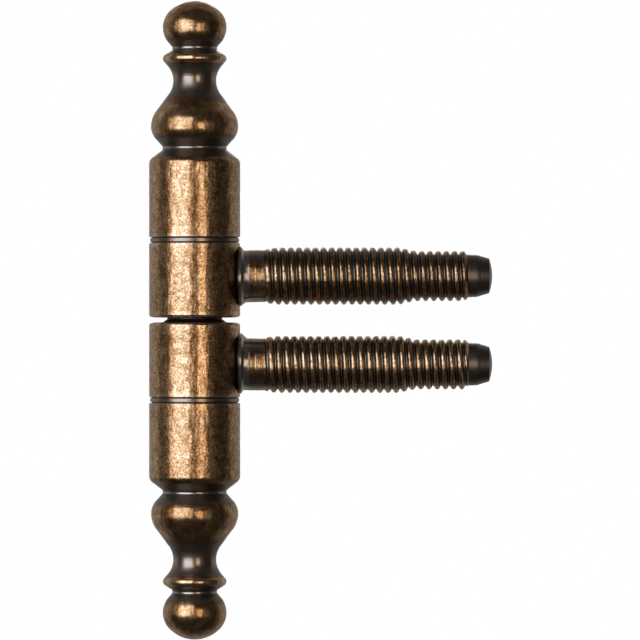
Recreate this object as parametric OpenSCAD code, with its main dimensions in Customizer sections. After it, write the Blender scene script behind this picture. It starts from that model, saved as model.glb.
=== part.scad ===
// Drill-in hinge with turned finial caps, for a rebated wooden door.
// Each leaf is a knuckle with a threaded stud welded to its side and a finial cap
// pressed on its spigot. The door leaf lifts off a pin that is pressed in the frame leaf.
// Millimetres. The origin is on the swing axis, midway between the leaves.
// +Z runs up the swing axis and the studs point along +X.

/* [Barrel] */
// Diameter of the knuckles and of the caps
barrel_d = 14; // [13:0.25:17]
// Height of a knuckle's full-width wall
knuckle_h = 11.4; // [11.3:0.1:16]
// Rounding of a knuckle's edge at the gap between the leaves
knuckle_edge_r = 0.5; // [0.1:0.05:0.8]
// Height of the groove between a knuckle and its cap
groove_h = 0.9; // [0.6:0.05:1.5]
// Depth of the band in the groove below the barrel's surface
band_depth = 0.15; // [0.05:0.05:0.3]
// Height of the slots above and below the band
slot_h = 0.15; // [0.1:0.05:0.25]
// Depth of the slots below the barrel's surface
slot_depth = 0.35; // [0.3:0.05:0.6]
// Bevel of the two edges beside the groove
groove_bevel = 0.05; // [0.05:0.05:0.2]

/* [Cap] */
// Height of a cap's straight wall
cap_wall_h = 11.2; // [10:0.05:15]
// Rounding where the wall turns in to the shoulder
cap_rim_r = 1.3; // [0.3:0.1:1.4]
// Height of the shoulder, from the wall's end to the neck
shoulder_h = 2.45; // [2:0.05:3.5]
// Diameter of the spigot on a knuckle that a cap is pressed over
spigot_d = 11; // [10:0.1:12]
// Length of the spigot above the groove
spigot_h = 9; // [7.5:0.1:9.5]
// Free height left in a cap above the spigot's end
socket_end_gap = 0.3; // [0.1:0.1:1]

/* [Finial] */
// Diameter of the neck under the bulb
neck_d = 9.8; // [8.5:0.1:10.5]
// Radius of the hollow at the neck
neck_r = 0.45; // [0.2:0.05:0.6]
// Largest diameter of the bulb
bulb_d = 13.4; // [12.5:0.1:14.5]
// Height from the neck to the widest part of the bulb
bulb_rise = 3.3; // [3.2:0.1:5]
// Radius of the bulb's belly below its widest part
bulb_lower_r = 3; // [2:0.05:3.5]
// Radius of the bulb's belly above its widest part
bulb_upper_r = 4.1; // [2:0.1:4.5]
// Diameter of the waist above the bulb
waist_d = 6.6; // [5.5:0.05:7.5]
// Height from the widest part of the bulb to the waist
waist_rise = 7; // [6.8:0.1:9]
// Radius of the hollow at the waist
waist_r = 3.4; // [2:0.1:3.7]
// Diameter of the collar bead
collar_d = 9.8; // [8.5:0.1:10.2]
// Height from the waist to the middle of the collar bead
collar_rise = 3.35; // [3.3:0.05:5]
// Radius of the collar bead's edge
collar_r = 0.8; // [0.3:0.05:0.8]
// Diameter of the neck under the ball
ball_neck_d = 6.85; // [6:0.05:7.5]
// Height from the collar bead to the neck under the ball
ball_neck_rise = 1.6; // [1.4:0.05:2.5]
// Radius of the hollow at the neck under the ball
ball_neck_r = 0.45; // [0.2:0.05:0.6]
// Diameter of the ball
ball_d = 9.8; // [9:0.1:10]
// Height from the neck to the widest part of the ball
ball_rise = 3.2; // [3.1:0.05:4]
// Radius of the ball's side
ball_side_r = 3.6; // [3:0.05:3.7]
// Height from the widest part of the ball to its end
ball_crown = 4.15; // [3.9:0.05:4.6]

/* [Pin and thrust ring] */
// Gap between the leaves, which is the thrust ring's height
leaf_gap = 0.7; // [0.4:0.05:1.5]
// Diameter of the hinge pin
pin_d = 7; // [6:0.1:7.5]
// Depth of the pin's hole in each knuckle
pin_hole_depth = 18; // [14:0.5:18.5]
// Free depth left under the pin in the frame knuckle
pin_foot_gap = 0.5; // [0.2:0.1:1.5]
// Free depth left above the pin in the door knuckle
pin_head_gap = 1; // [0.5:0.1:2]
// Bevel of the pin's pressed end
pin_bevel = 0.5; // [0.2:0.1:0.8]
// Height of the rounded head on the pin's free end
pin_head_h = 1.2; // [0.6:0.1:2]
// Bevel at the mouth of a pin hole
mouth_bevel = 0.25; // [0.1:0.05:0.4]
// Radial clearance of the door knuckle round the pin
running_clearance = 0.04; // [0.02:0.01:0.08]
// Radial clearance of the thrust ring round the pin
ring_clearance = 0.06; // [0.02:0.01:0.09]
// Diameter of the thrust ring's foot
ring_foot_d = 9.8; // [9:0.1:11]
// Diameter of the thrust ring's top
ring_top_d = 8.4; // [8.1:0.1:8.8]
// Height of the upright rim round the ring's top
ring_top_h = 0.2; // [0.1:0.05:0.3]

/* [Stud] */
// Height of a stud's axis above its knuckle's face at the gap
stud_rise = 6.4; // [5.5:0.1:6.4]
// How far a stud's foot is sunk into the barrel's side
weld_sink = 0.4; // [0.2:0.05:0.8]
// Diameter of the upset foot at the weld
foot_d = 9.4; // [8.9:0.1:10]
// Thickness of the foot's rim
foot_rim_h = 0.45; // [0.2:0.05:1]
// Length of the flare from the foot's rim to the shank
flare_h = 1.2; // [1:0.1:3]
// Radius of the hollow where the flare meets the shank
flare_r = 1.1; // [0.5:0.1:1.8]
// Rounding of the foot's rim
foot_edge_r = 0.25; // [0.1:0.05:0.3]
// Diameter of the plain shank
shank_d = 8.2; // [7.8:0.05:8.4]
// Length of the plain shank between the flare and the thread
shank_h = 2.35; // [1:0.05:4]
// Outside diameter of the main thread
thread_d = 8.9; // [8.6:0.05:9.2]
// Pitch of the thread
thread_pitch = 1.25; // [1:0.05:1.75]
// Depth of the thread from crest to root
thread_depth = 0.55; // [0.4:0.05:0.75]
// Length of the main thread
main_thread_h = 20.7; // [12:0.1:30]
// Length over which the thread steps down
step_h = 2.3; // [1.5:0.1:4]
// Outside diameter of the thinner leading thread
lead_thread_d = 7.8; // [7:0.1:8.2]
// Length of the leading thread
lead_thread_h = 9.5; // [6:0.1:14]
// Diameter at the root of the tip
tip_root_d = 6.5; // [6:0.1:6.8]
// Diameter at the end of the tip
tip_end_d = 5.4; // [4:0.1:5.9]
// Length of the tapered tip
tip_h = 1.9; // [1:0.05:4]
// Height of the domed end
dome_h = 0.5; // [0.3:0.05:1.5]

/* [Hidden] */
$fn = 96;

bronze = "#6f4e2f";
dark_bronze = "#4a3a2b";
pin_steel = "#b9b7b2";
ring_black = "#1d1c1c";

// How far a cutting shape passes the surface that it opens
overcut = 1;
// How far a flank or a crown cuts into the curve that it runs from
lap = 0.01;
// Step to which a radius that has to give way is rounded
rounding = 0.01;
// Share of the room between two radii that their curves may fill
fill = 0.98;
barrel_r = barrel_d / 2;
band_r = barrel_r - band_depth;
slot_r = barrel_r - slot_depth;
// Heights on a knuckle and its cap, from the knuckle's face at the gap
cap_seat = knuckle_h + groove_h;
spigot_end = cap_seat + spigot_h;
socket_depth = spigot_h + socket_end_gap;
// Heights on a cap, from its seat
neck_z = cap_wall_h + shoulder_h;
bulb_z = neck_z + bulb_rise;
waist_z = bulb_z + waist_rise;
collar_z = waist_z + collar_rise;
ball_neck_z = collar_z + ball_neck_rise;
ball_z = ball_neck_z + ball_rise;
// Stations along a stud, from the swing axis
weld_x = barrel_r - weld_sink;
rim_x = weld_x + foot_rim_h;
shank_x = rim_x + flare_h;
thread_x = shank_x + shank_h;
step_x = thread_x + main_thread_h;
lead_x = step_x + step_h;
tip_x = lead_x + lead_thread_h;
dome_x = tip_x + tip_h;
// Widths of the rolled thread's crest and root, and between the shoulders that ease its crest
crest_land = 0.2 * thread_pitch;
root_land = 0.1 * thread_pitch;
shoulder_land = 0.5 * thread_pitch;
// Share of the thread's depth that the shoulders lie below the crest
shoulder_drop = 0.25;
// Where the thread starts to run out towards the tip
run_out_x = tip_x - 1.5 * thread_pitch;

// Sections of turned pieces: x is the radius and y is the height along the axis

// Solid from the axis out to radius r, between two heights
module slab(y0, y1, r) {
    polygon([[0, y0], [r, y0], [r, y1], [0, y1]]);
}

// Quarter of a round section, whose edge follows a circle of radius r about [cx, 0] up to height h
module bulge(cx, r, h) {
    intersection() {
        translate([cx, 0]) circle(r);
        translate([cx, 0]) square([r + overcut, h]);
    }
}

// Section between a widest and a narrowest radius: a bulge, a straight flank that runs
// from one curve to the other, and a hollow. The radii give way where they would overlap.
module turning(wide_r, bulge_r, narrow_r, hollow_r, h) {
    drop = wide_r - narrow_r;
    most = fill * (drop * drop + h * h) / (2 * drop);
    share = most / (bulge_r + hollow_r);
    convex = share < 1 ? floor(bulge_r * share / rounding) * rounding : bulge_r;
    concave = share < 1 ? floor(hollow_r * share / rounding) * rounding : hollow_r;
    across = convex + concave - drop;
    slope = asin((convex + concave) / norm([across, h])) - atan2(across, h);
    flank_start = convex * sin(slope);
    flank_end = h - concave * sin(slope);
    difference() {
        union() {
            slab(0, flank_start, wide_r - convex);
            bulge(wide_r - convex, convex, flank_end);
            polygon([
                [0, flank_start],
                [wide_r - convex * (1 - cos(slope)) - lap, flank_start],
                [narrow_r + concave * (1 - cos(slope)) + lap, flank_end],
                [0, flank_end]
            ]);
            slab(flank_end, h, narrow_r + concave);
        }
        translate([narrow_r + concave, h]) circle(concave);
    }
}

// A turning placed with its widest radius at wide_y and its narrowest at narrow_y
module turning_at(wide_y, wide_r, bulge_r, narrow_y, narrow_r, hollow_r) {
    translate([0, wide_y])
        mirror([0, narrow_y < wide_y ? 1 : 0])
            turning(wide_r, bulge_r, narrow_r, hollow_r, abs(narrow_y - wide_y));
}

// Section of a rounded end of a given height on a rod of radius r
module domed_end(y, r, h) {
    dome_r = ((r + lap) * (r + lap) + h * h) / (2 * h);
    intersection() {
        translate([0, y + h - dome_r]) circle(dome_r);
        slab(y, y + h + overcut, r);
    }
}

// Turned pieces, standing on the knuckle's face at the gap or on the cap's seat

module knuckle(hole_d) {
    hole_r = hole_d / 2;
    difference() {
        rotate_extrude() difference() {
            union() {
                translate([0, knuckle_edge_r]) mirror([0, 1]) {
                    slab(0, knuckle_edge_r, barrel_r - knuckle_edge_r);
                    bulge(barrel_r - knuckle_edge_r, knuckle_edge_r, knuckle_edge_r);
                }
                slab(knuckle_edge_r, knuckle_h - groove_bevel, barrel_r);
                polygon([
                    [0, knuckle_h - groove_bevel],
                    [barrel_r, knuckle_h - groove_bevel],
                    [barrel_r - groove_bevel, knuckle_h],
                    [0, knuckle_h]
                ]);
                slab(knuckle_h, cap_seat, slot_r);
                slab(knuckle_h + slot_h, cap_seat - slot_h, band_r);
                slab(cap_seat, spigot_end, spigot_d / 2);
            }
            slab(-overcut, pin_hole_depth, hole_r);
            polygon([
                [0, 0],
                [hole_r + mouth_bevel, 0],
                [hole_r, mouth_bevel],
                [0, mouth_bevel]
            ]);
        }
        translate([weld_x, 0, stud_rise])
            rotate([0, 90, 0]) cylinder(d = foot_d, h = weld_sink + overcut);
    }
}

module cap() {
    rotate_extrude() difference() {
        union() {
            polygon([
                [0, 0],
                [barrel_r - groove_bevel, 0],
                [barrel_r, groove_bevel],
                [0, groove_bevel]
            ]);
            slab(groove_bevel, cap_wall_h, barrel_r);
            turning_at(cap_wall_h, barrel_r, cap_rim_r, neck_z, neck_d / 2, neck_r);
            turning_at(bulb_z, bulb_d / 2, bulb_lower_r, neck_z, neck_d / 2, neck_r);
            turning_at(bulb_z, bulb_d / 2, bulb_upper_r, waist_z, waist_d / 2, waist_r);
            turning_at(collar_z, collar_d / 2, collar_r, waist_z, waist_d / 2, waist_r);
            turning_at(collar_z, collar_d / 2, collar_r, ball_neck_z, ball_neck_d / 2, ball_neck_r);
            turning_at(ball_z, ball_d / 2, ball_side_r, ball_neck_z, ball_neck_d / 2, ball_neck_r);
            translate([0, ball_z]) ball_top();
        }
        slab(-overcut, socket_depth, spigot_d / 2);
    }
}

// Upper half of the flattened ball: its side runs over into a flatter crown
module ball_top() {
    side_x = ball_d / 2 - ball_side_r;
    crown_r = (side_x * side_x + ball_crown * ball_crown - ball_side_r * ball_side_r)
        / (2 * (ball_crown - ball_side_r));
    crown_y = ball_crown - crown_r;
    meet_y = crown_y - crown_y * crown_r / (crown_r - ball_side_r);
    slab(0, meet_y, side_x);
    bulge(side_x, ball_side_r, ball_crown);
    intersection() {
        translate([0, crown_y]) circle(crown_r - lap);
        slab(meet_y, ball_crown + overcut, ball_d / 2);
    }
}

// The thread's outside radius and depth at a station, with its run-in, step and run-out
function thread_r_at(x) = lookup(x, [
    [thread_x, shank_d / 2],
    [thread_x + thread_pitch, thread_d / 2],
    [step_x, thread_d / 2],
    [lead_x, lead_thread_d / 2],
    [run_out_x, lead_thread_d / 2],
    [tip_x, tip_root_d / 2]
]);
function thread_depth_at(x) = lookup(x, [
    [thread_x, 0],
    [thread_x + thread_pitch, thread_depth],
    [run_out_x, thread_depth],
    [tip_x, 0]
]);
function thread_root_at(x) = thread_r_at(x) - thread_depth_at(x);

// Section of the thread, as rings of its true profile at its pitch
module thread_section() {
    turns = floor((tip_x - thread_x) / thread_pitch);
    ridges = [
        for (i = [0 : turns - 1])
            let (
                start = thread_x + i * thread_pitch,
                crest = start + thread_pitch / 2,
                crest_r = thread_r_at(crest),
                shoulder_r = crest_r - shoulder_drop * thread_depth_at(crest)
            )
                each [
                    [thread_root_at(start), start + root_land / 2],
                    [shoulder_r, crest - shoulder_land / 2],
                    [crest_r, crest - crest_land / 2],
                    [crest_r, crest + crest_land / 2],
                    [shoulder_r, crest + shoulder_land / 2],
                    [thread_root_at(start + thread_pitch), start + thread_pitch - root_land / 2]
                ]
    ];
    polygon(concat(
        [[0, thread_x], [shank_d / 2, thread_x]],
        ridges,
        [[tip_root_d / 2, tip_x], [0, tip_x]]
    ));
}

// A stud, lying along +X from its weld
module stud() {
    rotate([0, 90, 0]) rotate_extrude() {
        slab(weld_x, rim_x, foot_d / 2);
        turning_at(rim_x, foot_d / 2, foot_edge_r, shank_x, shank_d / 2, flare_r);
        slab(shank_x, thread_x, shank_d / 2);
        thread_section();
        polygon([[0, tip_x], [tip_root_d / 2, tip_x], [tip_end_d / 2, dome_x], [0, dome_x]]);
        domed_end(dome_x, tip_end_d / 2, dome_h);
    }
}

// Places what stands on the gap's middle on the door leaf, above, or on the frame leaf, below
module on_door_leaf(rise) {
    translate([0, 0, leaf_gap / 2 + rise]) children();
}
module on_frame_leaf(rise) {
    mirror([0, 0, 1]) on_door_leaf(rise) children();
}

module frame_knuckle() {
    color(bronze) on_frame_leaf(0) knuckle(pin_d);
}

module frame_stud() {
    color(dark_bronze) on_frame_leaf(stud_rise) stud();
}

module frame_cap() {
    color(bronze) on_frame_leaf(cap_seat) cap();
}

module hinge_pin() {
    foot_y = -leaf_gap / 2 - pin_hole_depth + pin_foot_gap;
    head_y = leaf_gap / 2 + pin_hole_depth - pin_head_gap - pin_head_h;
    color(pin_steel) rotate_extrude() {
        polygon([
            [0, foot_y],
            [pin_d / 2 - pin_bevel, foot_y],
            [pin_d / 2, foot_y + pin_bevel],
            [0, foot_y + pin_bevel]
        ]);
        slab(foot_y + pin_bevel, head_y, pin_d / 2);
        domed_end(head_y, pin_d / 2, pin_head_h);
    }
}

module thrust_ring() {
    bore_r = pin_d / 2 + ring_clearance;
    color(ring_black) translate([0, 0, -leaf_gap / 2]) rotate_extrude() polygon([
        [bore_r, 0],
        [ring_foot_d / 2, 0],
        [ring_top_d / 2, leaf_gap - ring_top_h],
        [ring_top_d / 2, leaf_gap],
        [bore_r, leaf_gap]
    ]);
}

module door_knuckle() {
    color(bronze) on_door_leaf(0) knuckle(pin_d + 2 * running_clearance);
}

module door_stud() {
    color(dark_bronze) on_door_leaf(stud_rise) stud();
}

module door_cap() {
    color(bronze) on_door_leaf(cap_seat) cap();
}

frame_knuckle();
frame_stud();
frame_cap();
hinge_pin();
thrust_ring();
door_knuckle();
door_stud();
door_cap();
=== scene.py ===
"""Looks of the drill-in hinge: turned barrel and finials in rubbed antique bronze, and rolled threads."""
import math

import bpy
import numpy as np
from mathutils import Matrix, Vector


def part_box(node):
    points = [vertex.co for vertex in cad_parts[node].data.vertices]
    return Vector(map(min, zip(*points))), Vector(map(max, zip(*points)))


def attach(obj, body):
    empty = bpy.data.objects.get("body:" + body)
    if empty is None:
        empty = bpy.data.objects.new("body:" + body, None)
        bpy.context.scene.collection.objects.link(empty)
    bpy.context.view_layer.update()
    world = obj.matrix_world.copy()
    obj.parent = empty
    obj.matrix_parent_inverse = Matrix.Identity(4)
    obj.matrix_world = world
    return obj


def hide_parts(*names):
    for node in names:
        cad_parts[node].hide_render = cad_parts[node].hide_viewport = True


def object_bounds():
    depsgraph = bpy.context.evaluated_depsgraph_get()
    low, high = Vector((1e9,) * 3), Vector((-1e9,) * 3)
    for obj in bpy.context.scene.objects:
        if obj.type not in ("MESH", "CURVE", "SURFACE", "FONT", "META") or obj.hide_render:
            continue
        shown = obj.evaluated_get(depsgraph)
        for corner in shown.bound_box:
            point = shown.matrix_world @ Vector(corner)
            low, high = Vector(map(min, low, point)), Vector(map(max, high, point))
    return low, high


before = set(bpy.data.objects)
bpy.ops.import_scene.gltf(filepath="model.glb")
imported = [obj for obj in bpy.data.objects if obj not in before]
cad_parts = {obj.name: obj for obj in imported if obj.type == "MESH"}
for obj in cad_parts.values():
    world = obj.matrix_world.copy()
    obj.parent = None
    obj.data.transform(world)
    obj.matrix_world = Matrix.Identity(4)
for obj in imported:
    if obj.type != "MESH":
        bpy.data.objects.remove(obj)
cad_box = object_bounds()

MM = 0.001
# Points closer than this are taken as one
TOUCH = 1e-6
# The door leaf stands above the gap and the frame leaf hangs below it
LEAVES = {"door": 1, "frame": -1}


# Shader maths

class Value:
    """A socket that takes part in expressions: each operator adds a Math node."""

    def __init__(self, nodes, socket):
        self.nodes = nodes
        self.socket = socket

    def math(self, operation, *terms):
        return self.nodes.node("ShaderNodeMath", {"operation": operation}, dict(enumerate(terms)))

    def __add__(self, other):
        return self.math("ADD", self, other)

    def __sub__(self, other):
        return self.math("SUBTRACT", self, other)

    def __rsub__(self, other):
        return self.math("SUBTRACT", other, self)

    def __mul__(self, other):
        return self.math("MULTIPLY", self, other)

    __radd__ = __add__
    __rmul__ = __mul__

    def between(self, low, high):
        """0 below low and 1 above high, with a smooth step between."""
        return self.nodes.node(
            "ShaderNodeMapRange",
            {"interpolation_type": "SMOOTHSTEP"},
            {"Value": self, "From Min": low, "From Max": high},
        )


class Nodes:
    """A node tree under construction."""

    def __init__(self, tree):
        self.tree = tree
        tree.nodes.clear()

    def node(self, kind, settings=None, sockets=None, out=0):
        """Adds a node, sets it, fills its sockets with values or links, and gives one output."""
        made = self.tree.nodes.new(kind)
        for name, setting in (settings or {}).items():
            if name == "stops":
                self.set_stops(made.color_ramp, setting)
            else:
                setattr(made, name, setting)
        for name, value in (sockets or {}).items():
            if isinstance(value, Value):
                self.tree.links.new(value.socket, made.inputs[name])
            else:
                made.inputs[name].default_value = value
        return Value(self, made.outputs[out]) if made.outputs else None

    @staticmethod
    def set_stops(ramp, stops):
        """Gives a colour ramp its stops, as (position, colour) in order."""
        while len(ramp.elements) < len(stops):
            ramp.elements.new(0.5)
        for element, (position, colour) in zip(ramp.elements, stops):
            element.position = position
            element.color = colour

    def mix(self, share, first, second):
        """Colour that goes from first to second as share goes from 0 to 1."""
        return self.node(
            "ShaderNodeMix", {"data_type": "RGBA"}, {0: share, 6: first, 7: second}, out=2
        )

    def noise(self, place, per_mm, detail=2.0, rough=0.5, distort=0.0):
        """Cloudy noise, with per_mm as its features in each millimetre."""
        return self.node(
            "ShaderNodeTexNoise",
            {},
            {"Vector": place, "Scale": per_mm, "Detail": detail, "Roughness": rough, "Distortion": distort},
        )

    def stretched(self, place, per_mm):
        """A place counted in features, with per_mm as their numbers in a millimetre along X, Y and Z."""
        return self.node("ShaderNodeVectorMath", {"operation": "MULTIPLY"}, {0: place, 1: per_mm})


def new_finish(name):
    """A material's empty tree, and the surface's place on its piece in millimetres."""
    material = bpy.data.materials.new(name)
    material.use_nodes = True
    nodes = Nodes(material.node_tree)
    metres = nodes.node("ShaderNodeTexCoord", out="Object")
    place = nodes.node("ShaderNodeVectorMath", {"operation": "SCALE"}, {0: metres, "Scale": 1 / MM})
    return material, nodes, place


def surface(nodes, **sockets):
    """Closes a material with one Principled shader. Spaces in socket names are written as _."""
    shader = nodes.node(
        "ShaderNodeBsdfPrincipled", {}, {name.replace("_", " "): value for name, value in sockets.items()}
    )
    nodes.node("ShaderNodeOutputMaterial", {}, {"Surface": shader})


# Finishes

BROWNED = (0.17, 0.064, 0.017, 1)
COPPER = (0.45, 0.245, 0.1, 1)
PALE_COPPER = (0.74, 0.53, 0.325, 1)
GROUND = (0.50, 0.49, 0.47, 1)
OILED = (0.33, 0.29, 0.24, 1)
BLACK = (0.008, 0.008, 0.009, 1)
SCUFFED = (0.022, 0.021, 0.021, 1)
# Middle of a noise, which runs from 0 to 1
MIDDLE = 0.5
# Patches and clouds of tone in each millimetre of copper
PATCHES_PER_MM, CLOUDS_PER_MM = 0.9, 0.16
# How strongly grain, patches and clouds tell in the mottle
GRAIN_TELLS, PATCHES_TELL, CLOUDS_TELL = 4.2, 2.6, 0.8
# Tone of copper without mottle or rub, and how far each of them moves it
PLAIN_TONE, TONE_BY_MOTTLE, TONE_BY_RUB = -0.3, 0.46, 0.8
# Tones at which copper is browned, plain and pale
COPPER_TONES = [(0.1, BROWNED), (0.5, COPPER), (0.9, PALE_COPPER)]
# Rub at which copper first shows and at which it is bare, and how far mottle frays the edge between
FIRST_COPPER, BARE_COPPER, FRAY = 0.35, 0.9, 0.16
# Burnish of smooth patina, between a dull crevice at 0 and a drawn line at 1
SMOOTH_PATINA = 0.6
# Dimples to each speck of grain, and the polished surface's swells in a millimetre along X, Y and Z
DIMPLES_PER_SPECK, SWELLS_PER_MM = 0.8, (1.0, 1.0, 0.35)
# Heights of dimples and swells, against 1 for tool marks
DIMPLE_HEIGHT, SWELL_HEIGHT = 0.7, 3.0
# Roughness of a dull crevice, how much less a smooth place has, and how far patches vary it
DULL, SMOOTHER, UNEVEN = 0.4, 0.17, 0.1


def rubbed_bronze(name, crevice, patina, drawn, grain_per_mm, dimple_depth, rings_per_mm, ring_share):
    """Copper plating under dark patina, lacquered.

    The piece's "rub" attribute says how far polishing reached; on the studs it is raised at front and back
    as a painted sheen. Where the piece is dark, "burnish" says how smooth the tool left it, from crevice by
    way of patina to drawn; on the barrel its band is set where the lamps' highlight falls, partly a painted
    sheen. "speckle" says how strongly the copper is mottled. dimple_depth is in millimetres, and ring_share
    is the share of the tool marks on bare copper.
    """
    material, nodes, place = new_finish(name)
    rub, burnish, speckle = [
        nodes.node("ShaderNodeAttribute", {"attribute_name": mark}, out="Fac")
        for mark in ("rub", "burnish", "speckle")
    ]
    grain = nodes.noise(place, grain_per_mm, detail=2.5, rough=0.62)
    patches = nodes.noise(place, PATCHES_PER_MM, detail=3, rough=0.6, distort=0.4)
    clouds = nodes.noise(place, CLOUDS_PER_MM, detail=2, rough=0.5)
    fine_mottle = (grain - MIDDLE) * GRAIN_TELLS * speckle
    mottle = fine_mottle + (patches - MIDDLE) * PATCHES_TELL + (clouds - MIDDLE) * CLOUDS_TELL
    tone = mottle * TONE_BY_MOTTLE + rub * TONE_BY_RUB + PLAIN_TONE
    bare = nodes.node("ShaderNodeValToRGB", {"stops": COPPER_TONES}, {"Fac": tone})
    stops = [(0.0, crevice), (SMOOTH_PATINA, patina), (1.0, drawn)]
    dark = nodes.node("ShaderNodeValToRGB", {"stops": stops}, {"Fac": burnish})
    polished = (rub + mottle * FRAY).between(FIRST_COPPER, BARE_COPPER)
    base = nodes.mix(polished, dark, bare)
    dimples = nodes.noise(place, grain_per_mm * DIMPLES_PER_SPECK, detail=1, rough=0.4)
    swells = nodes.noise(nodes.stretched(place, SWELLS_PER_MM), 1.0, detail=1, rough=0.5)
    tool_marks = nodes.noise(nodes.stretched(place, rings_per_mm), 1.0, detail=2, rough=0.6)
    relief = dimples * speckle * DIMPLE_HEIGHT + swells * SWELL_HEIGHT
    height = relief * polished + tool_marks * (1 - polished * (1 - ring_share))
    normal = nodes.node(
        "ShaderNodeBump", {}, {"Strength": 1.0, "Distance": dimple_depth * MM, "Height": height}
    )
    smooth = polished + burnish.between(0.0, SMOOTH_PATINA) * (1 - polished)
    surface(
        nodes,
        Base_Color=base,
        Metallic=1.0,
        Roughness=DULL - smooth * SMOOTHER + (patches - MIDDLE) * UNEVEN,
        Coat_Weight=0.45,
        Coat_IOR=1.5,
        Coat_Roughness=0.15,
        Normal=normal,
    )
    return material


def ground_steel(name):
    """Bright steel with fine grinding rings and a film of oil."""
    material, nodes, place = new_finish(name)
    rings_per_mm, ring_depth = (0.15, 0.15, 14.0), 0.01 * MM
    smears_per_mm = 0.25
    scratches = nodes.noise(nodes.stretched(place, rings_per_mm), 1.0, detail=3, rough=0.7)
    film = nodes.noise(place, smears_per_mm, detail=2)
    base = nodes.mix(film.between(0.35, 0.75), GROUND, OILED)
    normal = nodes.node("ShaderNodeBump", {}, {"Strength": 0.4, "Distance": ring_depth, "Height": scratches})
    surface(
        nodes,
        Base_Color=base,
        Metallic=1.0,
        Roughness=0.2 + scratches * 0.18,
        Normal=normal,
    )
    return material


def bearing_plastic(name):
    """Smooth black plastic, a little scuffed."""
    material, nodes, place = new_finish(name)
    scuffs_per_mm = 2.5
    scuffs = nodes.noise(place, scuffs_per_mm, detail=3, rough=0.6)
    base = nodes.mix(scuffs.between(0.4, 0.8), BLACK, SCUFFED)
    surface(nodes, Base_Color=base, Roughness=0.3 + scuffs * 0.2, IOR=1.5)
    return material


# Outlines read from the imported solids

def seam(node, up=1, stud_z=None):
    """Where a turned node crosses the plane of the studs: rows of (station, radius), by station.

    A barrel piece's stations run along the swing axis, away from the gap. A stud's run along +X.
    """
    points = np.array([v.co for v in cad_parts[node].data.vertices])
    points = points[abs(points[:, 1]) < TOUCH]
    if stud_z is None:
        station, radius = up * points[:, 2], points[:, 0]
    else:
        station, radius = points[:, 0], points[:, 2] - stud_z
    sides = []
    for side in (1, -1):
        on_side = side * radius > -TOUCH
        rows = np.c_[station[on_side], side * radius[on_side]]
        sides.append(np.unique(np.round(rows, 7), axis=0))
    return max(sides, key=len)


def by_station(rows):
    """Rows in order of station. At a step the outline goes on from the radius that it came with."""
    ordered = []
    for station in np.unique(rows[:, 0]):
        step = rows[rows[:, 0] == station]
        step = step[np.argsort(-step[:, 1])]
        if ordered and abs(step[-1, 1] - ordered[-1][1]) < abs(step[0, 1] - ordered[-1][1]):
            step = step[::-1]
        ordered.extend(step)
    return np.array(ordered)


# Angle past which an outline has a corner, and the length over which a corner is eased
CORNER, CORNER_EASE = math.radians(20), 0.05 * MM
# An edge this many times as long as its neighbour is straight and not part of its arc
STRAIGHT = 2.5
# Share of the first step at which a point stands close to a corner
BY_CORNER = 0.6


def refined(outline, step):
    """The outline with its arcs smoothed, its corners eased and a point at least every step."""
    eased = []
    ways = np.diff(outline, axis=0)
    lengths = np.linalg.norm(ways, axis=1)
    ways = ways / lengths[:, None]
    corner = [False] * len(outline)
    for i in range(1, len(outline) - 1):
        corner[i] = ways[i - 1] @ ways[i] < math.cos(CORNER)
    for i in range(len(lengths)):
        tangents = []
        for end, neighbour in ((i, i - 1), (i + 1, i + 1)):
            inner = 0 <= neighbour < len(lengths) and not corner[end]
            if not inner or lengths[i] > STRAIGHT * lengths[neighbour]:
                tangents.append(ways[i])
            elif lengths[neighbour] > STRAIGHT * lengths[i]:
                tangents.append(ways[neighbour])
            else:
                mean = ways[i] + ways[neighbour]
                tangents.append(mean / np.linalg.norm(mean))
        ease = min(CORNER_EASE, lengths[i] / 4)
        start = ease / lengths[i] if corner[i] else 0.0
        stop = 1 - ease / lengths[i] if corner[i + 1] else 1.0
        count = max(1, math.ceil(lengths[i] * (stop - start) / step))
        shares = np.linspace(start, stop, count + 1)
        if corner[i]:
            close = shares[1] * BY_CORNER + start * (1 - BY_CORNER)
            shares = np.insert(shares, 1, min(2 * start, close))
        if corner[i + 1]:
            close = shares[-2] * BY_CORNER + stop * (1 - BY_CORNER)
            shares = np.insert(shares, -1, max(2 * stop - 1, close))
        t = np.unique(shares)[:, None]
        first, second = outline[i], outline[i + 1]
        run = lengths[i]
        curve = (
            (2 * t**3 - 3 * t**2 + 1) * first
            + (t**3 - 2 * t**2 + t) * run * tangents[0]
            + (3 * t**2 - 2 * t**3) * second
            + (t**3 - t**2) * run * tangents[1]
        )
        if eased and not corner[i]:
            curve = curve[1:]
        eased.extend(curve)
    return np.array(eased)


def swept(heights, width, spacing, outward):
    """Heights dilated by a rolling disc (outward) or eroded by it. Heights are evenly spaced."""
    reach = int(width / spacing)
    padded = np.pad(heights, reach, mode="edge")
    result = None
    for k in range(-reach, reach + 1):
        sag = math.sqrt(width**2 - (k * spacing) ** 2)
        shifted = padded[reach + k : reach + k + len(heights)]
        moved = shifted + sag if outward else shifted - sag
        if result is None:
            result = moved
        else:
            result = np.maximum(result, moved) if outward else np.minimum(result, moved)
    return result


def smooth_step(values, low, high):
    """0 below low and 1 above high, with a smooth step between."""
    share = np.clip((values - low) / (high - low), 0, 1)
    return share * share * (3 - 2 * share)


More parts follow.
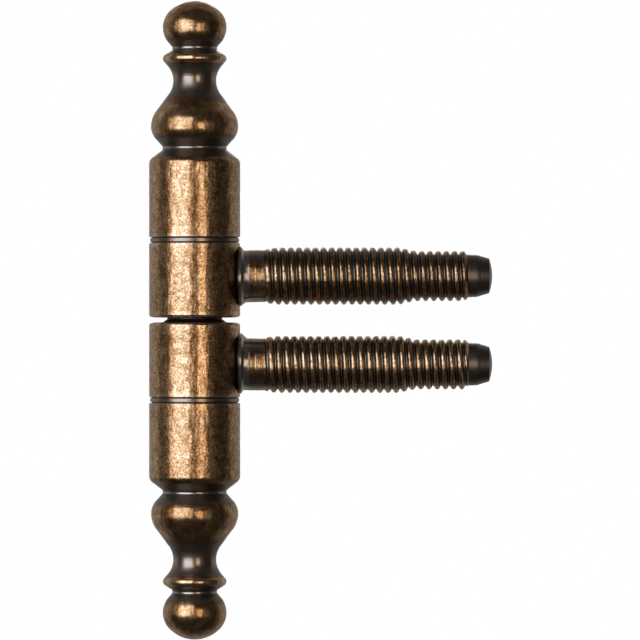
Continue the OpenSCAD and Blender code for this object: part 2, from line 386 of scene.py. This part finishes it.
class Polish:
    """How far polishing has rubbed a leaf's barrel along its axis: 0 in crevices and 1 on raised places.

    A large wheel can't reach into the hollows between the turned forms, a small one can't reach into fine
    grooves, and both dwell on edges. The turning tool has burnished the bottom of each hollow that it fits;
    that band is set at the slope where the lamps' highlight falls, so it is partly a painted sheen.
    """

    # Spacing of the stations, and how far they go on past the barrel's ends
    SPACING, BEYOND = 0.02 * MM, 8 * MM
    # Radii of the large wheel, of the small one and of the turning tool's tip
    WHEELS = (7 * MM, 1.6 * MM, 0.3 * MM)
    # Depths below the large wheel, the small one and the tip over which their work fades
    LARGE_FADE, SMALL_FADE, TIP_FADE = 0.4 * MM, 0.08 * MM, 0.02 * MM
    # Radius of the wheel that finds edges, how far an edge stands out and how much more it is rubbed
    EDGE_WHEEL, EDGE_HEIGHT, EDGE_GAIN = 1.2 * MM, 0.04 * MM, 0.25
    # Slope at which the tool's burnished line is brightest, and the change of slope over which it fades.
    # The slope is where the lamps' highlight falls, so the line is partly a painted sheen.
    LINE_SLOPE, LINE_FADE = 0.12, 0.3
    # Depth from which a hollow or a groove is burnished
    BURNISHED_DEPTH = 0.1 * MM

    def __init__(self, rows):
        past_ends = -self.BEYOND
        self.grid = np.arange(rows[0, 0] - self.BEYOND, rows[-1, 0] + self.BEYOND, self.SPACING)
        self.heights = np.interp(self.grid, rows[:, 0], rows[:, 1], left=past_ends, right=past_ends)
        deep, fine, tiny = [self.below(wheel) for wheel in self.WHEELS]
        reached = np.exp(-deep / self.LARGE_FADE - fine / self.SMALL_FADE)
        edges = 1 - np.exp(-self.above(self.EDGE_WHEEL) / self.EDGE_HEIGHT)
        # The burnished line peaks at one slope, where the lamps' highlight falls: partly a painted sheen
        off_line = np.gradient(self.heights, self.SPACING) - self.LINE_SLOPE
        line = np.exp(-((off_line / self.LINE_FADE) ** 2))
        tight = 1 - np.exp(-fine / self.BURNISHED_DEPTH)
        hollow = (1 - np.exp(-deep / self.BURNISHED_DEPTH)) * np.exp(-tiny / self.TIP_FADE)
        self.rub = reached * (1 + self.EDGE_GAIN * edges)
        self.burnish = (SMOOTH_PATINA + (1 - SMOOTH_PATINA) * tight) * line * hollow

    def below(self, wheel):
        """How far each place lies below a wheel that rolls along the outline."""
        rolled = swept(self.heights, wheel, self.SPACING, True)
        return np.maximum(swept(rolled, wheel, self.SPACING, False) - self.heights, 0)

    def above(self, wheel):
        """How far each place stands out from a wheel that rolls along inside the outline."""
        rolled = swept(self.heights, wheel, self.SPACING, False)
        return np.maximum(self.heights - swept(rolled, wheel, self.SPACING, True), 0)

    def marks(self, outline, outside):
        """Rub and burnish of each point of a piece's outline. Inside the piece they are 0."""
        along = {"rub": self.rub, "burnish": self.burnish}
        return {
            mark: np.where(outside, np.interp(outline[:, 0], self.grid, values), 0)[:, None]
            for mark, values in along.items()
        }


# Meshes

def skin(name, rings, marks, material, ends):
    """A closed piece from rings of points, with a point at each end. Marks name a value for each point."""
    count, around = rings.shape[:2]
    points = np.concatenate([rings.reshape(-1, 3), [ends[0]], [ends[1]]])
    first, last = count * around, count * around + 1
    j = np.arange(around)
    following = (j + 1) % around
    faces = []
    for i in range(count - 1):
        low, high = i * around, (i + 1) * around
        faces.extend(np.c_[low + j, low + following, high + following, high + j].tolist())
    faces.extend(np.c_[np.full(around, first), following, j].tolist())
    top = (count - 1) * around
    faces.extend(np.c_[np.full(around, last), top + j, top + following].tolist())
    mesh = bpy.data.meshes.new(name)
    mesh.from_pydata(points.tolist(), [], faces)
    mesh.shade_smooth()
    outward = (points[faces[0]].mean(0) - points[first]) @ np.array(mesh.polygons[0].normal)
    if outward < 0:
        mesh.flip_normals()
    for mark, values in marks.items():
        values = np.broadcast_to(values, (count, around))
        values = np.concatenate([values.reshape(-1), [values[0].mean(), values[-1].mean()]])
        attribute = mesh.attributes.new(mark, "FLOAT", "POINT")
        attribute.data.foreach_set("value", values.astype(np.float32))
    mesh.materials.append(material)
    piece = bpy.data.objects.new(name, mesh)
    bpy.context.scene.collection.objects.link(piece)
    return piece


def turned(outline, around, up):
    """Rings of points for an outline turned about the swing axis."""
    angles = np.arange(around) * 2 * math.pi / around
    radius = outline[:, 1, None]
    height = np.repeat(up * outline[:, 0, None], around, axis=1)
    return np.stack([radius * np.cos(angles), radius * np.sin(angles), height], axis=-1)


def waves(angles, strengths, seed):
    """A lumpy closed line: sine waves round a circle with phases from a seeded draw."""
    draw = np.random.default_rng(seed)
    phases = draw.uniform(0, 2 * math.pi, len(strengths))
    total = np.zeros_like(angles)
    for turns, (strength, phase) in enumerate(zip(strengths, phases), start=2):
        total = total + strength * np.sin(turns * angles + phase)
    return total


# Pieces

# Longest step along a barrel piece's outline and along a stud's
BARREL_STEP, STUD_STEP = 0.16 * MM, 0.065 * MM
# Points round each kind of piece
CAP_AROUND, KNUCKLE_AROUND, STUD_AROUND = 160, 192, 96
# How far a cap's socket may go on past the spigot in it
SOCKET_ROOM = 1 * MM
# How deep the bevel at the mouth of a pin hole may be, and how far it may open the hole
MOUTH_DEPTH, MOUTH_ROOM = 1 * MM, 0.5 * MM
# Rim of the stud's seat that is left out of a knuckle's outline
SEAT_RIM = 0.05 * MM
# How strongly a finial is speckled, against 1 for the barrel, and the length over which that sets in
FINIAL_SPECKLE, FINIAL_SET_IN = 0.4, 1.5 * MM


def stud_seat(leaf):
    """Height of a stud's axis, its foot's radius, and where its foot starts from the swing axis."""
    lo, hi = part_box(f"{leaf}_stud")
    return (lo.z + hi.z) / 2, (hi.z - lo.z) / 2, lo.x


def cap_sides(leaf, up):
    """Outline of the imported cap: its socket, from the bottom to the mouth, and its outside."""
    spigot_end, spigot_r = seam(f"{leaf}_knuckle", up)[-1]
    rows = seam(f"{leaf}_cap", up)
    in_socket = (abs(rows[:, 1] - spigot_r) < TOUCH) & (rows[:, 0] < spigot_end + SOCKET_ROOM)
    return by_station(rows[in_socket])[::-1], by_station(rows[~in_socket])


def knuckle_sides(leaf, up):
    """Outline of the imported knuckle: its pin hole, from the bottom to the mouth, and its outside."""
    stud_z, foot_r, _ = stud_seat(leaf)
    rows = seam(f"{leaf}_knuckle", up)
    hole_r = rows[rows[:, 0] > rows[0, 0] + MOUTH_DEPTH][:, 1].min()
    in_hole = rows[:, 1] < hole_r + MOUTH_ROOM
    beside_seat = abs(rows[:, 0] - abs(stud_z)) < foot_r + SEAT_RIM
    return by_station(rows[in_hole])[::-1], by_station(rows[~in_hole & ~beside_seat])


def leaf_polish(leaf, up):
    """Polish of a leaf, which is rubbed down with its cap in place."""
    cap = cap_sides(leaf, up)[1]
    knuckle = knuckle_sides(leaf, up)[1]
    return Polish(np.concatenate([knuckle[knuckle[:, 0] < cap[0, 0] - TOUCH], cap]))


def make_cap(leaf, up, polish, material):
    """Finial cap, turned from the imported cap's outline, with its socket."""
    socket, outside = cap_sides(leaf, up)
    outline = refined(np.concatenate([socket, outside]), BARREL_STEP)[:-1]
    is_outside = np.arange(len(outline)) > np.argmin(outline[:, 0])
    wall_end = outside[outside[:, 1] > outside[:, 1].max() - TOUCH][-1, 0]
    on_finial = smooth_step(outline[:, 0], wall_end, wall_end + FINIAL_SET_IN)
    marks = polish.marks(outline, is_outside)
    marks["speckle"] = (1 - (1 - FINIAL_SPECKLE) * on_finial)[:, None]
    rings = turned(outline, CAP_AROUND, up)
    ends = (Vector((0, 0, up * socket[0, 0])), Vector((0, 0, up * outside[-1, 0])))
    piece = skin(f"{leaf}_finial_cap", rings, marks, material, ends)
    dress(piece, leaf, f"{leaf}_cap")


def make_knuckle(leaf, up, polish, material):
    """Knuckle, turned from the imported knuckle's outline, with its pin hole and the stud's flat seat."""
    stud_z, foot_r, foot_x = stud_seat(leaf)
    hole, outside = knuckle_sides(leaf, up)
    outline = refined(np.concatenate([hole, outside]), BARREL_STEP)
    is_outside = np.arange(len(outline)) > np.argmin(outline[:, 0])
    marks = polish.marks(outline, is_outside)
    marks["speckle"] = 1.0
    rings = turned(outline, KNUCKLE_AROUND, up)
    off_axis = np.hypot(rings[..., 1], rings[..., 2] - stud_z)
    on_seat = (off_axis < foot_r) & (rings[..., 0] > foot_x)
    rings[on_seat, 0] = foot_x
    ends = (Vector((0, 0, up * hole[0, 0])), Vector((0, 0, up * outside[-1, 0])))
    piece = skin(f"{leaf}_barrel_knuckle", rings, marks, material, ends)
    dress(piece, leaf, f"{leaf}_knuckle")


# Where a thread's crest crosses the stud's top line, from the swing axis
CREST_ON_TOP = {"door": 12.18 * MM, "frame": 12.69 * MM}
# Power of a crest's fall, and the share of the way to the root at which the root's hollow starts
CREST_POWER, FLANK_END = 2.4, 0.75
# How far the weld's flash stands out of round, and the strengths of its waves, of 2 to a turn and more
FLASH = {"door": 0.075 * MM, "frame": 0.04 * MM}
FLASH_WAVES = (0.5, 0.7, 1.0, 0.8, 0.9, 0.7, 0.5, 0.4)
# Share of the shank's radius past which the foot is out of round
OUT_OF_ROUND_FROM = 0.9
# Length of a stud's foot, and how far it is off its shank's axis, towards the gap between the leaves
FOOT_LENGTH, FOOT_OFFSET = 1.65 * MM, 0.2 * MM
# Share of the flare's height that is a slim cone, and the height from which the rest turns up
CONE_SHARE, UPTURN_FROM = 0.3, 0.5
# Cosines, -1 on the gap's side and 1 away from it, between which the straight flare becomes the cone
CONE_SET_IN = (-1.0, -0.4)
# How far each thread's crests are rubbed all round, and at front and back, where the extra copper is a
# painted sheen. The frame stud's higher values partly paint in the stronger light on it.
CREST_RUB_AND_SHEEN = {"door": (0.5, 1.05), "frame": (0.95, 1.25)}
# Heights on the ridge at which the rubbing starts and is full. The frame stud's wider band is partly a
# painted sheen.
CREST_BAND = {"door": (0.42, 0.85), "frame": (0.3, 0.75)}
# How far the shank is rubbed at front and back, where the copper is partly a painted sheen,
# and where that sets in from the foot's end
SHANK_RUB_AND_SHEEN, SHANK_SET_IN = 1.25, (-0.1 * MM, 0.3 * MM)
# How smooth the studs' dark places are
FOOT_BURNISH, SHANK_BURNISH, TIP_BURNISH = 0.85, 0.45, 0.2
ROOT_BURNISH, CREST_BURNISH = 0.45, 0.4
# Heights on the ridge at which the root's smooth place ends and the crest's sets in
ROOT_BAND, CREST_SIDE = (0.0, 0.25), (0.4, 0.7)
# Where the dull weld ends, from the foot's start
WELD_END = (0.1 * MM, 0.4 * MM)
# How strongly the shank and the tip are speckled, against 1 for the thread
SHANK_SPECKLE = 0.6


def thread_lines(rows):
    """Stations and radii of the crests and roots of a packed stud's rings, at the middles of their flats."""
    x, r = rows[:, 0], rows[:, 1]
    before, flat, after = r[:-3], r[1:-2], r[3:]
    level = abs(flat - r[2:-1]) < TOUCH
    middle = (x[1:-2] + x[2:-1]) / 2
    crest = level & (before < flat - TOUCH) & (after < flat - TOUCH)
    root = level & (before > flat + TOUCH) & (after > flat + TOUCH)
    return middle[crest], flat[crest], middle[root], flat[root]


def thread_ridge(from_crest):
    """Height of a rolled thread, from 1 on its crest to 0 in its root.

    from_crest goes from 0 on the crest to 1 in the root.
    """
    hollow = 1 - FLANK_END
    slope = FLANK_END ** (CREST_POWER - 1)
    fall = 1 / (slope * (CREST_POWER * hollow / 2 + FLANK_END))
    rise = fall * CREST_POWER * slope / (2 * hollow)
    return np.where(from_crest < FLANK_END, 1 - fall * from_crest**CREST_POWER, rise * (1 - from_crest) ** 2)


def foot_swell(leaf, up, outline, angles, shank_r, slim_end):
    """How far a stud's foot stands out from its outline: weld flash, offset and a flare that is slimmer.

    The slimming goes on along the shank to slim_end.
    """
    _, foot_r, foot_x = stud_seat(leaf)
    flare = np.clip((outline[:, 1, None] - shank_r) / (foot_r - shank_r), 0, 1)
    upturned = CONE_SHARE * flare + (1 - CONE_SHARE) * smooth_step(flare, UPTURN_FROM, 1.0)
    away_from_gap = smooth_step(up * np.cos(angles), *CONE_SET_IN)
    slimmed = (flare - upturned) * (foot_r - shank_r) * away_from_gap
    slimmed = np.where(outline[:, 0, None] < slim_end, slimmed, 0)
    on_foot = np.clip((foot_x + FOOT_LENGTH - outline[:, 0, None]) / FOOT_LENGTH, 0, 1)
    lumps = waves(angles, FLASH_WAVES, seed=len(leaf))
    shift = FLASH[leaf] * lumps - FOOT_OFFSET * up * np.cos(angles)
    out_of_round = outline[:, 1, None] > OUT_OF_ROUND_FROM * shank_r
    return np.where(out_of_round, shift * on_foot, 0) - slimmed


def stud_marks(leaf, stations, angles, ridge, in_thread, thread_start):
    """Rub, burnish and speckle of each point of a stud."""
    foot_x = stud_seat(leaf)[2]
    from_foot = stations[:, None] - foot_x
    before_thread = stations[:, None] < thread_start
    # More copper at front and back than at top and bottom: a painted sheen on the sides facing the lamps
    painted_sheen_front_and_back = np.sin(angles) ** 2
    all_round, rub_with_sheen = CREST_RUB_AND_SHEEN[leaf]
    crest_rub_and_sheen = smooth_step(ridge, *CREST_BAND[leaf]) * (all_round + (rub_with_sheen - all_round) * painted_sheen_front_and_back)
    past_foot = smooth_step(from_foot - FOOT_LENGTH, *SHANK_SET_IN)
    shank_rub_and_sheen = np.where(before_thread, SHANK_RUB_AND_SHEEN * past_foot, 0) * painted_sheen_front_and_back**2
    root_burnish = ROOT_BURNISH * (1 - smooth_step(ridge, *ROOT_BAND))
    thread_burnish = root_burnish + CREST_BURNISH * smooth_step(ridge, *CREST_SIDE)
    foot_burnish = FOOT_BURNISH + (SHANK_BURNISH - FOOT_BURNISH) * past_foot
    past_weld = smooth_step(from_foot, *WELD_END)
    plain_burnish = np.where(before_thread, foot_burnish * past_weld, TIP_BURNISH)
    return {
        "rub": np.where(in_thread, crest_rub_and_sheen, shank_rub_and_sheen),
        "burnish": np.where(in_thread, thread_burnish, plain_burnish),
        "speckle": np.where(in_thread, 1.0, SHANK_SPECKLE),
    }


def make_stud(leaf, up, material):
    """Stud with its rolled right-hand thread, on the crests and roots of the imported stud's rings."""
    node = f"{leaf}_stud"
    lo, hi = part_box(node)
    stud_z = stud_seat(leaf)[0]
    rows = seam(node, stud_z=stud_z)
    crest_x, crest_r, root_x, root_r = thread_lines(rows)
    pitch = np.median(np.diff(crest_x))
    thread_start, thread_end = crest_x[0] - pitch / 2, crest_x[-1] + pitch / 2

    off_thread = (rows[:, 0] < thread_start + TOUCH) | (rows[:, 0] > thread_end - TOUCH)
    plain = by_station(rows[off_thread])
    outline = refined(plain, STUD_STEP)[:-1]
    stations = outline[:, 0]
    in_thread = ((stations > thread_start) & (stations < thread_end))[:, None]
    shank_r, tip_r = np.interp([thread_start, thread_end], plain[:, 0], plain[:, 1])
    crests = np.interp(stations, [thread_start, *crest_x, thread_end], [shank_r, *crest_r, tip_r])
    roots = np.interp(stations, [thread_start, *root_x, thread_end], [shank_r, *root_r, tip_r])

    angles = np.arange(STUD_AROUND) * 2 * math.pi / STUD_AROUND
    turn = (stations[:, None] - CREST_ON_TOP[leaf]) / pitch - angles / (2 * math.pi)
    from_crest = abs((turn + 0.5) % 1 - 0.5) * 2
    ridge = thread_ridge(from_crest)
    threaded = roots[:, None] + (crests - roots)[:, None] * ridge
    radius = np.where(in_thread, threaded, outline[:, 1, None])
    radius = radius + foot_swell(leaf, up, outline, angles, shank_r, thread_start - pitch)
    along = np.repeat(stations[:, None], STUD_AROUND, axis=1)
    rings = np.stack([along, -radius * np.sin(angles), stud_z + radius * np.cos(angles)], axis=-1)
    marks = stud_marks(leaf, stations, angles, ridge, in_thread, thread_start)
    ends = (Vector((lo.x, 0, stud_z)), Vector((hi.x, 0, stud_z)))
    piece = skin(f"{leaf}_threaded_stud", rings, marks, material, ends)
    dress(piece, leaf, node)


def dress(piece, leaf, node):
    """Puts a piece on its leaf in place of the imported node."""
    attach(piece, f"{leaf}_leaf")
    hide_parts(node)


barrel_finish = rubbed_bronze(
    "barrel_bronze",
    crevice=(0.175, 0.136, 0.102, 1),
    patina=(0.31, 0.238, 0.18, 1),
    drawn=(0.42, 0.39, 0.38, 1),
    grain_per_mm=3.7,
    dimple_depth=0.025,
    rings_per_mm=(0.05, 0.05, 3.5),
    ring_share=0.1,
)
stud_finish = rubbed_bronze(
    "stud_bronze",
    crevice=(0.04, 0.031, 0.024, 1),
    patina=(0.4, 0.335, 0.27, 1),
    drawn=(0.48, 0.44, 0.4, 1),
    grain_per_mm=2.2,
    dimple_depth=0.04,
    rings_per_mm=(4.5, 0.05, 0.05),
    ring_share=0.8,
)
for leaf, up in LEAVES.items():
    polish = leaf_polish(leaf, up)
    make_cap(leaf, up, polish, barrel_finish)
    make_knuckle(leaf, up, polish, barrel_finish)
    make_stud(leaf, up, stud_finish)
for node, finish in (
    ("hinge_pin", ground_steel("pin_steel")),
    ("thrust_ring", bearing_plastic("ring_plastic")),
):
    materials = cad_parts[node].data.materials
    materials.clear()
    materials.append(finish)


# Stage, light and camera

# How far the light panels stand from the hinge, in metres
PANEL_DISTANCE = 0.5
# Azimuth, elevation, width and height in degrees, radiance and colour of each panel
PANELS = {
    "main_panel": (-34.6, 10, 41.2, 50, 1.52, (0.65, 1.05, 1.6)),
    "main_spread": (-34.8, 10, 61, 54, 1.0, (1.15, 0.89, 0.66)),
    "second_panel": (18.0, 0, 17.8, 32, 1.95, (1, 0.87, 0.75)),
    "second_spread": (36, 0, 30, 40, 0.08, (1, 0.87, 0.74)),
    "rear_panel": (180, 8, 24, 50, 1.6, (1, 0.96, 0.9)),
}


def soft_panel(name, azimuth, elevation, width, height, radiance, colour):
    """A soft light panel round the hinge. Azimuth 0 is the camera's side and +90 is +X."""
    a, e = math.radians(azimuth), math.radians(elevation)
    toward = Vector((math.sin(a) * math.cos(e), -math.cos(a) * math.cos(e), math.sin(e)))
    lamp = bpy.data.lights.new(name, "AREA")
    lamp.shape = "RECTANGLE"
    lamp.size = 2 * PANEL_DISTANCE * math.tan(math.radians(width / 2))
    lamp.size_y = 2 * PANEL_DISTANCE * math.tan(math.radians(height / 2))
    lamp.color = colour
    lamp.energy = radiance * math.pi * lamp.size * lamp.size_y
    panel = bpy.data.objects.new(name, lamp)
    panel.location = toward * PANEL_DISTANCE
    panel.rotation_euler = toward.to_track_quat("Z", "Y").to_euler()
    panel.visible_camera = False
    bpy.context.scene.collection.objects.link(panel)


def seen_by(nodes):
    """1 for the camera's rays, and 1 for rays by way of metal or glass."""
    camera, glossy, through = [
        nodes.node("ShaderNodeLightPath", out=f"Is {kind} Ray")
        for kind in ("Camera", "Glossy", "Transmission")
    ]
    return camera, glossy + through


def make_floor(drop, front_level, rear_level):
    """Pale round floor below the hinge, which is held by its studs.

    The camera sees it partly as plain white, by whiteness, and partly as it is lit, which keeps the hinge's
    soft shadow. It fades into the backdrop from fade_from on. Metal mirrors it at front_level in front of
    the hinge and at rear_level behind it.
    """
    reach, sides = 0.9, 96
    whiteness, fade_from = 0.75, 0.3
    grey = (0.86, 0.86, 0.86, 1)
    level = cad_box[0].z - drop
    angles = [k * math.tau / sides for k in range(sides)]
    rim = [(reach * math.cos(a), reach * math.sin(a), level) for a in angles]
    mesh = bpy.data.meshes.new("floor")
    mesh.from_pydata(rim, [], [list(range(sides))])
    material = bpy.data.materials.new("pale_floor")
    material.use_nodes = True
    nodes = Nodes(material.node_tree)
    camera, mirrored = seen_by(nodes)
    place = nodes.node("ShaderNodeTexCoord", out="Object")
    back = nodes.node("ShaderNodeSeparateXYZ", {}, {0: place}, out="Y")
    mirrored_level = front_level + back.between(0.0, 0.2) * (rear_level - front_level)
    matt = nodes.node("ShaderNodeBsdfDiffuse", {}, {"Color": grey})
    white = nodes.node(
        "ShaderNodeEmission", {}, {"Color": (1, 1, 1, 1), "Strength": camera + mirrored * mirrored_level}
    )
    distance = nodes.node("ShaderNodeVectorMath", {"operation": "LENGTH"}, {0: place}, out="Value")
    faded = camera * (whiteness + distance.between(fade_from, reach) * (1 - whiteness)) + mirrored
    shown = nodes.node("ShaderNodeMixShader", {}, {0: faded, 1: matt, 2: white})
    nodes.node("ShaderNodeOutputMaterial", {}, {"Surface": shown})
    mesh.materials.append(material)
    floor = bpy.data.objects.new("floor", mesh)
    bpy.context.scene.collection.objects.link(floor)


def make_world(room, left_wall, ceiling, walls, fill):
    """White backdrop behind the hinge, dimmer walls beside it and a dark room in front.

    The camera sees white all round, metal mirrors the room, and fill is the level that lights matt surfaces.
    The limits of each zone are parts of a direction along one axis, from 0 to 1.
    """
    world = bpy.data.worlds.new("studio")
    world.use_nodes = True
    bpy.context.scene.world = world
    nodes = Nodes(world.node_tree)
    camera, mirrored = seen_by(nodes)
    way = nodes.node("ShaderNodeTexCoord", out="Generated")
    right = nodes.node("ShaderNodeSeparateXYZ", {}, {0: way}, out="X")
    back = nodes.node("ShaderNodeSeparateXYZ", {}, {0: way}, out="Y")
    up = nodes.node("ShaderNodeSeparateXYZ", {}, {0: way}, out="Z")
    behind = back.between(0.0, 0.4)
    to_the_left = (0 - right).between(0.3, 1.0)
    overhead = up.between(0.5, 1.0)
    dimmed_upwards = 1 - up.between(0.4, 0.95) * 0.5
    wall = room + to_the_left * left_wall + overhead * ceiling + behind * dimmed_upwards * walls
    backdrop = back.between(0.985, 0.996)
    sweep = wall + backdrop * (1 - wall)
    level = camera + mirrored * sweep + (1 - camera - mirrored) * fill
    shine = nodes.node("ShaderNodeBackground", {}, {"Color": (1, 1, 1, 1), "Strength": level})
    nodes.node("ShaderNodeOutputWorld", {}, {"Surface": shine})


def make_camera():
    """Long lens, straight on, at the photograph's framing."""
    view_height, view_x = 97.9 * MM, 19.16 * MM
    lens, sensor = 300.0, 36.0
    data = bpy.data.cameras.new("camera")
    data.lens = lens
    data.sensor_width = sensor
    data.clip_start, data.clip_end = 0.01, 20
    camera = bpy.data.objects.new("camera", data)
    camera.location = (view_x, -view_height * lens / sensor, 0)
    camera.rotation_euler = (math.radians(90), 0, 0)
    bpy.context.scene.collection.objects.link(camera)
    bpy.context.scene.camera = camera


for name, panel in PANELS.items():
    soft_panel(name, *panel)
make_floor(180 * MM, front_level=0.04, rear_level=0.26)
make_world(room=0.04, left_wall=0.08, ceiling=0.02, walls=0.28, fill=0.3)
make_camera()
bpy.context.scene.view_settings.view_transform = "Standard"
